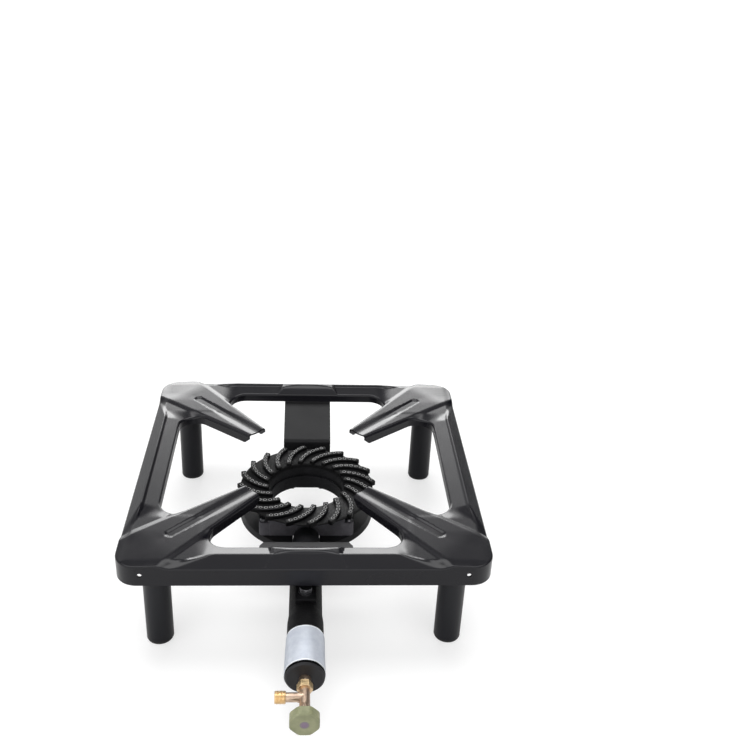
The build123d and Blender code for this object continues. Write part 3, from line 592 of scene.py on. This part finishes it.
class Sheet:
    """Vertices with their normals, and faces, of one side of a sheet, in millimetres."""

    def __init__(self):
        self.verts, self.normals, self.faces = [], [], []

    def add(self, place, normal):
        """Adds a vertex and gives its number."""
        self.verts.append(Vector(place))
        self.normals.append(Vector(normal).normalized())
        return len(self.verts) - 1

    def roll(self, start, edge, turn, lows):
        """Rounds the sheet over its edge below a vertex and runs it down through heights."""
        (px, py), (nx, ny) = edge
        a = self.verts[start]
        edge_z = min(stand_height(px, py), a.z + 0.3)
        b, c = Vector((px, py, edge_z)), Vector((px, py, edge_z - turn))
        column = [start]
        for t in (0.2, 0.4, 0.6, 0.8, 1.0):
            place = (1 - t) ** 2 * a + 2 * t * (1 - t) * b + t * t * c
            course = (1 - t) * (b - a) + t * (c - b)
            out = -(course.x * nx + course.y * ny)
            column.append(self.add(place, (nx * course.z, ny * course.z, out)))
        for low in lows:
            column.append(self.add((px, py, low), (-nx, -ny, 0)))
        return column

    def join(self, columns, skipped=()):
        """Faces between neighbouring columns, apart from the (column, row) cells skipped."""
        for i, (left, right) in enumerate(zip(columns, columns[1:])):
            for j in range(len(left) - 1):
                if (i, j) not in skipped:
                    self.faces.append((left[j], left[j + 1], right[j + 1], right[j]))

    def hole(self, corners, centre, normal, radius):
        """Flat face with a round hole in a four-sided cell, whose corners come in order."""
        normal = Vector(normal)
        across = (self.verts[corners[3]] - self.verts[corners[0]]).normalized()
        up = normal.cross(across)
        places = [self.verts[i] - Vector(centre) for i in corners]
        turns = [atan2(place.dot(up), place.dot(across)) for place in places]
        ring, count = [], 24
        for k in range(count):
            angle = turns[0] + 2 * pi * k / count
            spot = Vector(centre) + radius * (cos(angle) * across + sin(angle) * up)
            ring.append(self.add(spot, normal))
        way = 1 if (turns[1] - turns[0]) % (2 * pi) < pi else -1
        share = count // 4
        order = [ring[(way * k) % count] for k in range(count)]
        for j in range(4):
            mine, next_one = corners[j], corners[(j + 1) % 4]
            for k in range(share):
                owner = mine if k < share // 2 else next_one
                place = j * share + k
                self.faces.append((owner, order[(place + 1) % count], order[place]))
            self.faces.append((mine, next_one, order[j * share + share // 2]))

    def solid(self, name, thickness):
        """Mesh of the sheet closed to a thickness, with the sheet's own normals."""
        work = bmesh.new()
        for place in self.verts:
            work.verts.new(place * MM)
        work.verts.ensure_lookup_table()
        work.verts.index_update()
        for face in self.faces:
            if len(set(face)) == len(face):
                corners = [work.verts[i] for i in face]
                fits = sum((self.normals[i] for i in face), Vector())
                turn = (corners[1].co - corners[0].co).cross(corners[2].co - corners[0].co)
                work.faces.new(corners if turn.dot(fits) > 0 else corners[::-1])
        rims = [(edge, edge.link_faces[0]) for edge in work.edges if len(edge.link_faces) == 1]
        outside = list(work.faces)
        skin = zip(self.verts, self.normals)
        under = [work.verts.new(v * MM - n * thickness * MM) for v, n in skin]
        for face in outside:
            work.faces.new([under[v.index] for v in reversed(face.verts)])
        closing = []
        for edge, face in rims:
            order = list(face.verts)
            a, b = edge.verts
            if order[(order.index(a) + 1) % len(order)] != b:
                a, b = b, a
            closing.append(work.faces.new([b, a, under[a.index], under[b.index]]))
        work.verts.index_update()
        work.faces.index_update()
        flat = {face.index for face in closing}
        mesh = bpy.data.meshes.new(name)
        work.to_mesh(mesh)
        work.free()
        mesh.shade_smooth()
        count = len(self.verts)
        normals = []
        for face in mesh.polygons:
            for index in face.vertices:
                if face.index in flat:
                    normals.append(face.normal)
                elif index < count:
                    normals.append(self.normals[index])
                else:
                    normals.append(-self.normals[index - count])
        mesh.normals_split_custom_set(normals)
        return mesh


def fill_top(sheet, outer, opening):
    """Fills the sheet between two closed outlines and gives the number of each outline point."""
    rim = outer + opening
    points = rim + uncrowded(rail_points() + arm_points(), rim, outer, opening)
    loops = (range(len(outer)), range(len(outer), len(rim)))
    edges = [(loop[j], loop[(j + 1) % len(loop)]) for loop in loops for j in range(len(loop))]
    filled = delaunay_2d_cdt([Vector(point) for point in points], edges, [], 0, MERGE)
    places, _, triangles, origins, *_ = filled
    for place in places:
        sheet.add((place.x, place.y, stand_height(*place)), stand_normal(*place))
    for face in triangles:
        middle = (sum(places[i].x for i in face) / 3, sum(places[i].y for i in face) / 3)
        if inside(middle, outer) and not inside(middle, opening):
            sheet.faces.append(tuple(face))
    return {o: index for index, origin in enumerate(origins) for o in origin}


def add_skirt(sheet, edge, starts):
    """Turns the outer edge down into the skirt and cuts its two holes."""
    lows = (HOLE_HEIGHT - HOLE_CELL - HOLE_MARGIN, SKIRT_LOW)
    skirt = [sheet.roll(start, pair, SKIRT_TURN, lows) for start, pair in zip(starts, edge)]
    skirt.append(skirt[0])
    holes = []
    for i, ((x, y), _) in enumerate(edge):
        following = edge[(i + 1) % len(edge)][0]
        middle = ((x + following[0]) / 2, (y + following[1]) / 2)
        if following[1] == y == -SIDE and abs(abs(middle[0]) - HOLE_X) < 0.1:
            holes.append((i, middle))
    sheet.join(skirt, [(i, 5) for i, _ in holes])
    for i, (x, y) in holes:
        corners = (skirt[i][5], skirt[i][6], skirt[i + 1][6], skirt[i + 1][5])
        sheet.hole(corners, (x, y, HOLE_HEIGHT), (0, -1, 0), HOLE_RADIUS)


def add_flange(sheet, edge, starts):
    """Turns a window's edge down into a flange, cut short under the arm tips."""
    columns = []
    for start, (place, into) in zip(starts, edge):
        s = (abs(place[0]) + abs(place[1])) / sqrt(2)
        cut = (s - ARM_TIP) * (TIP_CUT_HEIGHT - FLANGE_LOW) / TIP_CUT_RUN
        low = max(FLANGE_LOW, TIP_CUT_HEIGHT - cut)
        lows = ((low + FLANGE_TOP) / 2, low)
        columns.append(sheet.roll(start, (place, into), FLANGE_TURN, lows))
    sheet.join(columns)


def stand_skin():
    """The pressed stand as one sheet with turned-down edges."""
    sheet = Sheet()
    skirt, windows = skirt_loop(SKIRT_STEP), window_loop(FLANGE_STEP)
    outer = [(p[0] + SKIRT_TURN * n[0], p[1] + SKIRT_TURN * n[1]) for p, n in skirt]
    inner = [(p[0] + FLANGE_TURN * n[0], p[1] + FLANGE_TURN * n[1]) for p, n in windows]
    quarter = len(inner) // 4
    opening, firsts = [], []
    for k in range(4):
        firsts.append(len(outer) + len(opening))
        opening += inner[k * quarter : (k + 1) * quarter]
        following = inner[((k + 1) * quarter) % len(inner)]
        opening += spaced(opening[-1], following, CLOSE)[1:-1]
    number = fill_top(sheet, outer, opening)
    add_skirt(sheet, skirt, [number[j] for j in range(len(skirt))])
    for k, first in enumerate(firsts):
        starts = [number[first + j] for j in range(quarter)]
        add_flange(sheet, windows[k * quarter : (k + 1) * quarter], starts)
    return sheet.solid("stand_skin", SHEET)


# Burner head, with the gas ports in its swirl ribs

HEAD_COLLAR = [(46.8, 76), (50.5, 76), (50.5, 88), (51.95, 88), (51.95, 85), (54.95, 85)]
HEAD_EDGE = [(54.95, 88), (59, 88), (81.4, 92.1), (81.85, 92.4), (82, 92.9), (81.75, 93.4)]
HEAD_TOP = [(81.1, 93.75), (79.5, 94.1), (77.6, 94.2), (48.8, 94.2), (47.7, 93.8)]
HEAD_BORE = [(46.9, 93.0), (46.6, 92.0), (46.5, 90.5), (46.5, 76.4)]
HEAD_STEPS = 144
RIBS, RIB_PHASE, RIB_SWEEP, RIB_LEAD = 20, 11.0, 28.0, 0.41
RIB_INNER, RIB_OUTER, RIB_BASE = 47.0, 83.4, 92.2
RIB_SECTION = [(3.2, 92.2), (3.15, 96.6), (3.05, 97.3), (2.8, 97.75), (2.3, 97.95)]
RIB_CREST, RIB_STRIP, RIB_END, RIB_TAPER = 97.95, 0.77, 1.5, 0.25
PORTS, PORT_PITCH = 7, 6.3
PORT_RINGS = [(2.2, 97.97), (2.0, 98.2), (1.7, 98.2), (1.5, 97.9), (1.45, 94.8)]


def polar(radius, degrees):
    """Plan point at a radius and an angle."""
    return Vector((radius * cos(radians(degrees)), radius * sin(radians(degrees))))


class Rib:
    """A swirl rib along the circle through three plan points."""

    def __init__(self, work, turn):
        middle = (RIB_INNER + RIB_OUTER) / 2
        a = polar(RIB_INNER, turn)
        b = polar(middle, turn - RIB_LEAD * RIB_SWEEP)
        c = polar(RIB_OUTER, turn - RIB_SWEEP)
        size = 2 * (a.x * (b.y - c.y) + b.x * (c.y - a.y) + c.x * (a.y - b.y))
        p, q, r = a.length_squared, b.length_squared, c.length_squared
        x = p * (b.y - c.y) + q * (c.y - a.y) + r * (a.y - b.y)
        y = p * (c.x - b.x) + q * (a.x - c.x) + r * (b.x - a.x)
        self.work = work
        self.centre = Vector((x, y)) / size
        self.radius = (a - self.centre).length
        self.start = atan2(*(a - self.centre).yx)
        sweep = atan2(*(c - self.centre).yx) - self.start
        self.sweep = (sweep + pi) % (2 * pi) - pi
        self.length = abs(self.sweep) * self.radius

    def point(self, along, across, height):
        """Vertex at a distance along the rib, across it and above the floor."""
        angle = self.start + self.sweep * along / self.length
        reach = self.radius + across
        x, y = self.centre.x + reach * cos(angle), self.centre.y + reach * sin(angle)
        return self.work.verts.new(Vector((x, y, height)) * MM)

    def station(self, along, inset, whole):
        """Section at a distance along the rib, from one foot over the crest to the other."""
        narrow = 1 - RIB_TAPER * inset
        outer = [(-w * narrow, max(RIB_BASE, z - inset)) for w, z in RIB_SECTION]
        strip, top = RIB_STRIP * narrow, RIB_CREST - inset
        crest = [(-strip, top), (strip, top)] if whole else []
        other = [(-w, z) for w, z in reversed(outer)]
        return [self.point(along, w, z) for w, z in outer + crest + other]

    def port(self, loop, middle):
        """Port with a raised rim inside a loop of crest vertices."""
        turns = []
        for vert in loop:
            place = Vector((vert.co.x, vert.co.y)) / MM - self.centre
            angle = (atan2(place.y, place.x) - self.start + pi) % (2 * pi) - pi
            along = angle * self.length / self.sweep
            turns.append(atan2(place.length - self.radius, along - middle))
        for radius, height in PORT_RINGS:
            ring = [self.point(middle + radius * cos(t), radius * sin(t), height) for t in turns]
            for i in range(len(loop)):
                j = (i + 1) % len(loop)
                self.work.faces.new([loop[i], loop[j], ring[j], ring[i]])
            loop = ring
        self.work.faces.new(loop)

    def build(self):
        """Adds the rib with its ports."""
        first = (self.length - PORTS * PORT_PITCH) / 2
        turns = (pi / 2, pi / 3, pi / 6, 0)
        ends = [(RIB_END * (1 - sin(t)), RIB_END * (1 - cos(t)), True) for t in turns]
        plan = list(ends)
        for k in range(PORTS * 3 + 1):
            plan.append((first + k * PORT_PITCH / 3, 0, k % 3 == 0))
        plan += [(self.length - along, inset, whole) for along, inset, whole in reversed(ends)]
        rows = [self.station(*item) for item in plan]
        side = len(RIB_SECTION)
        for (a, b), (p, q) in zip(zip(rows, rows[1:]), zip(plan, plan[1:])):
            for i in range(side - 1):
                self.work.faces.new([a[i], a[i + 1], b[i + 1], b[i]])
                self.work.faces.new([a[-2 - i], a[-1 - i], b[-1 - i], b[-2 - i]])
            self.work.faces.new([a[-1], a[0], b[0], b[-1]])
            if p[2] and q[2]:
                for i in range(side - 1, side + 2):
                    self.work.faces.new([a[i], a[i + 1], b[i + 1], b[i]])
        for k in range(PORTS):
            a, b, c, d = rows[len(ends) + 3 * k :][:4]
            near, far = a[side - 1 : side + 3], d[side - 1 : side + 3][::-1]
            loop = near + [b[side], c[side]] + far + [c[side - 1], b[side - 1]]
            self.port(loop, first + (k + 0.5) * PORT_PITCH)
        self.work.faces.new(rows[0])
        self.work.faces.new(rows[-1][::-1])


def revolved(work, outline, place, count):
    """Closed outline turned round, where place gives a vertex for a turn and an outline point."""
    turns = [2 * pi * k / count for k in range(count)]
    rings = [[work.verts.new(place(turn, *item) * MM) for item in outline] for turn in turns]
    for k in range(count):
        a, b = rings[k], rings[(k + 1) % count]
        for i in range(len(outline)):
            j = (i + 1) % len(outline)
            work.faces.new([a[i], b[i], b[j], a[j]])


def finished(work, name, degrees):
    """Mesh of the work with outward faces and sharp edges above an angle."""
    bmesh.ops.recalc_face_normals(work, faces=work.faces[:])
    mesh = bpy.data.meshes.new(name)
    work.to_mesh(mesh)
    work.free()
    smooth_by_angle(mesh, degrees)
    return mesh


def burner_head_ports():
    """Ring with its collar, spigot, swirl ribs and ports."""
    work = bmesh.new()
    outline = HEAD_COLLAR + HEAD_EDGE + HEAD_TOP + HEAD_BORE
    revolved(work, outline, lambda t, r, z: Vector((r * cos(t), r * sin(t), z)), HEAD_STEPS)
    for k in range(RIBS):
        Rib(work, RIB_PHASE + 360 * k / RIBS).build()
    return finished(work, "burner_head_ports", 38)


# Gas inlet with its thread

INLET_Y = -311.6
THREAD_START, THREAD_END, THREAD_RADIUS, THREAD_PITCH = 18.4, 29.2, 6.58, 1.337
THREAD_DEPTH, THREAD_CHAMFER, THREAD_MARGIN = 0.774, 5.7, 0.02
THREAD_STEPS, INLET_STEPS = 80, 48
INLET_ROOT = [(7.0, 3.0), (7.0, 4.6), (17.9, 4.6), (18.4, 5.6)]
INLET_MOUTH = [(29.2, 5.5), (29.2, 2.7), (28.9, 2.4), (7.0, 2.4)]


def inlet_thread():
    """Inlet neck and threaded end with a helical groove."""
    work = bmesh.new()
    low, length = THREAD_START + THREAD_MARGIN, THREAD_END - THREAD_START - 2 * THREAD_MARGIN
    thread = [(low + length * k / THREAD_STEPS, 0) for k in range(THREAD_STEPS + 1)]

    def place(turn, along, radius):
        if not radius:
            phase = (along / THREAD_PITCH + turn / (2 * pi)) % 1
            groove = min(1, max(0, 1.8 - 4 * abs(phase - 0.5)))
            chamfer = THREAD_CHAMFER + min(along - THREAD_START, THREAD_END - along)
            radius = min(THREAD_RADIUS - THREAD_DEPTH * groove, chamfer)
        return Vector((-along, INLET_Y + radius * cos(turn), GAS_LINE + radius * sin(turn)))

    revolved(work, INLET_ROOT + thread + INLET_MOUTH, place, INLET_STEPS)
    return finished(work, "inlet_thread", 40)


# Foil round the mixing tube

LABEL_FRONT, LABEL_BACK, LABEL_HALF_SPAN, LABEL_GAUGE = 283.0, 234.0, 125.0, 0.25
LABEL_RADIUS, LABEL_SLOPE, LABEL_CLEARANCE = 19.70, 0.0111, 0.14
LABEL_LIFT, LIFTED_TURNS, LIFTED_LENGTH = 1.6, (70, 125), (232, 275)
LABEL_ROWS, LABEL_COLUMNS = 14, 60
LABEL_WAVES = ((0.084, 5, 9), (0.056, 11, -6))


def label_foil():
    """Thin foil whose left edge has come away from the tube."""
    work = bmesh.new()
    rows, columns = LABEL_ROWS, LABEL_COLUMNS
    grids = []
    for gauge in (LABEL_GAUGE, 0.0):
        grid = []
        for i in range(rows + 1):
            along = LABEL_BACK + (LABEL_FRONT - LABEL_BACK) * i / rows
            line = []
            for j in range(columns + 1):
                turn = LABEL_HALF_SPAN * (2 * j / columns - 1)
                lift = LABEL_LIFT * ease(-turn, *LIFTED_TURNS) * ease(along, *LIFTED_LENGTH)
                wave = sum(h * sin(radians(turn * p + along * q)) for h, p, q in LABEL_WAVES)
                reach = LABEL_RADIUS + LABEL_SLOPE * (along - LABEL_BACK) + LABEL_CLEARANCE
                reach += gauge + lift + wave
                angle = radians(turn)
                place = Vector((reach * sin(angle), -along, GAS_LINE + reach * cos(angle)))
                line.append(work.verts.new(place * MM))
            grid.append(line)
        grids.append(grid)
    top, under = grids
    for i in range(rows):
        for j in range(columns):
            for grid in grids:
                work.faces.new([grid[i][j], grid[i][j + 1], grid[i + 1][j + 1], grid[i + 1][j]])
    for i in range(rows):
        for j in (0, columns):
            work.faces.new([top[i][j], top[i + 1][j], under[i + 1][j], under[i][j]])
    for j in range(columns):
        for i in (0, rows):
            work.faces.new([top[i][j], top[i][j + 1], under[i][j + 1], under[i][j]])
    return finished(work, "label_foil_sheet", 50)


# Light and floor

ROOM, FRONT, LOW_PANEL, HIGH_PANEL, MIDDLE_PANEL, TOP_PANEL = 0.85, 1.2, 12.0, 1.2, 1.6, 3.9
PANEL_SIDES, PANEL_BACK = ((-0.42, -0.22), (0.16, 0.28)), (0.2, 0.5)
LOW_HEIGHTS, LOW_FADE, LOW_SHARE = ((0.0, 0.14), (0.37, 0.46)), (0.30, 0.40), 0.35
HIGH_HEIGHTS = (-0.1, 0.05), (0.57, 0.66)
MIDDLE_SIDES, MIDDLE_HEIGHTS = ((-0.15, -0.05), (0.03, 0.13)), ((0.4, 0.55), (0.6, 0.68))
TOP_SIDES, TOP_BACKS = ((-0.6, -0.4), (0.4, 0.6)), ((-0.10, 0.02), (0.36, 0.48))
TOP_HEIGHTS = 0.6, 0.9
WALL_SIDE, WALL_HEIGHTS, WALL_SHADE = (0.30, 0.50), (0.68, 0.84), 0.85
DIP_HEIGHTS, DIP_BACK, DIP_SHADE = ((0.56, 0.66), (0.76, 0.9)), (-0.2, 0.3), 0.6
FRONT_BACK, FRONT_HEIGHTS = (-0.5, -0.2), ((-0.1, 0.1), (0.5, 0.7))
FLOOR_HALF, FLOOR_COLOUR, FLOOR_GLOW = 15, 0.45, 0.58
UNDER_REACH, UNDER_SHADE = (0.18, 0.44), 0.2


def add_world():
    """White room by direction: x right, y back, z up, with panels behind and above the object."""
    world = bpy.data.worlds.new("studio")
    bpy.context.scene.world = world
    world.use_nodes = True
    tree = world.node_tree
    place = tree.nodes.new("ShaderNodeTexCoord")
    parts = tree.nodes.new("ShaderNodeSeparateXYZ")
    tree.links.new(place.outputs["Generated"], parts.inputs["Vector"])
    x, y, z = parts.outputs

    behind = product(tree, window(tree, x, *PANEL_SIDES), span(tree, y, *PANEL_BACK, 0, 1))
    low = product(tree, window(tree, z, *LOW_HEIGHTS), LOW_PANEL)
    low = product(tree, low, span(tree, z, *LOW_FADE, LOW_SHARE, 1))
    middle = product(tree, window(tree, x, *MIDDLE_SIDES), window(tree, z, *MIDDLE_HEIGHTS))
    middle = product(tree, middle, MIDDLE_PANEL)
    high = product(tree, window(tree, z, *HIGH_HEIGHTS), HIGH_PANEL)
    panel = product(tree, behind, total(tree, low, middle, high))
    top = product(tree, window(tree, x, *TOP_SIDES), window(tree, y, *TOP_BACKS))
    top = product(tree, top, span(tree, z, *TOP_HEIGHTS, 0, 1), TOP_PANEL)

    wall = span(tree, z, *WALL_HEIGHTS, WALL_SHADE, 0)
    wall = product(tree, span(tree, x, *WALL_SIDE, 0, 1), wall)
    dip = product(tree, window(tree, z, *DIP_HEIGHTS), span(tree, y, *DIP_BACK, 0, DIP_SHADE))
    front = product(tree, span(tree, y, *FRONT_BACK, FRONT, 0), window(tree, z, *FRONT_HEIGHTS))
    room = maths(tree, "SUBTRACT", maths(tree, "SUBTRACT", 1, wall), dip)
    light = total(tree, product(tree, room, ROOM), front, panel, top)

    seen = tree.nodes.new("ShaderNodeLightPath").outputs["Is Camera Ray"]
    hidden = maths(tree, "SUBTRACT", 1, seen)
    background = tree.nodes["Background"].inputs
    background["Color"].default_value = (1, 1, 1, 1)
    tree.links.new(total(tree, seen, product(tree, hidden, light)), background["Strength"])


def add_floor():
    """White floor that keeps the shadow; the camera, metal and gloss see it lighter, with a painted
    shadow under the stand in what metal and gloss reflect.
    """
    mesh = bpy.data.meshes.new("floor")
    corners = [(FLOOR_HALF * x, FLOOR_HALF * y, 0) for x, y in in_every_quarter(1, 1)]
    mesh.from_pydata(corners, [], [(0, 1, 2, 3)])
    floor = bpy.data.objects.new("floor", mesh)
    bpy.context.scene.collection.objects.link(floor)
    material = bpy.data.materials.new("floor")
    material.use_nodes = True
    tree = material.node_tree
    sockets = tree.nodes["Principled BSDF"].inputs
    sockets["Base Color"].default_value = (FLOOR_COLOUR, FLOOR_COLOUR, FLOOR_COLOUR, 1)
    sockets["Roughness"].default_value = 0.9
    sockets["Specular IOR Level"].default_value = 0.0
    sockets["Emission Color"].default_value = (1, 1, 1, 1)
    rays = tree.nodes.new("ShaderNodeLightPath").outputs
    place = tree.nodes.new("ShaderNodeNewGeometry").outputs["Position"]
    away = tree.nodes.new("ShaderNodeVectorMath")
    away.operation = "LENGTH"
    tree.links.new(place, away.inputs[0])
    # painted shadow: the glow that metal and gloss see is dimmed under the stand
    under = span(tree, away.outputs["Value"], *UNDER_REACH, UNDER_SHADE, 1)
    mirrored = maths(tree, "MAXIMUM", rays["Is Glossy Ray"], rays["Is Transmission Ray"])
    seen = total(tree, rays["Is Camera Ray"], product(tree, mirrored, under))
    glow = product(tree, maths(tree, "MINIMUM", seen, 1), FLOOR_GLOW)
    tree.links.new(glow, sockets["Emission Strength"])
    mesh.materials.append(material)


bpy.context.scene.view_settings.view_transform = "Standard"
add_camera()
add_world()
add_floor()
add_piece(stand_skin(), "stand_enamel", "stand", "stand_frame")
add_piece(burner_head_ports(), "burner_iron", "stand", "burner_head")
add_piece(inlet_thread(), "brass", "stand", "inlet_nipple")
add_piece(label_foil(), "label_foil", "stand", "label_sleeve")
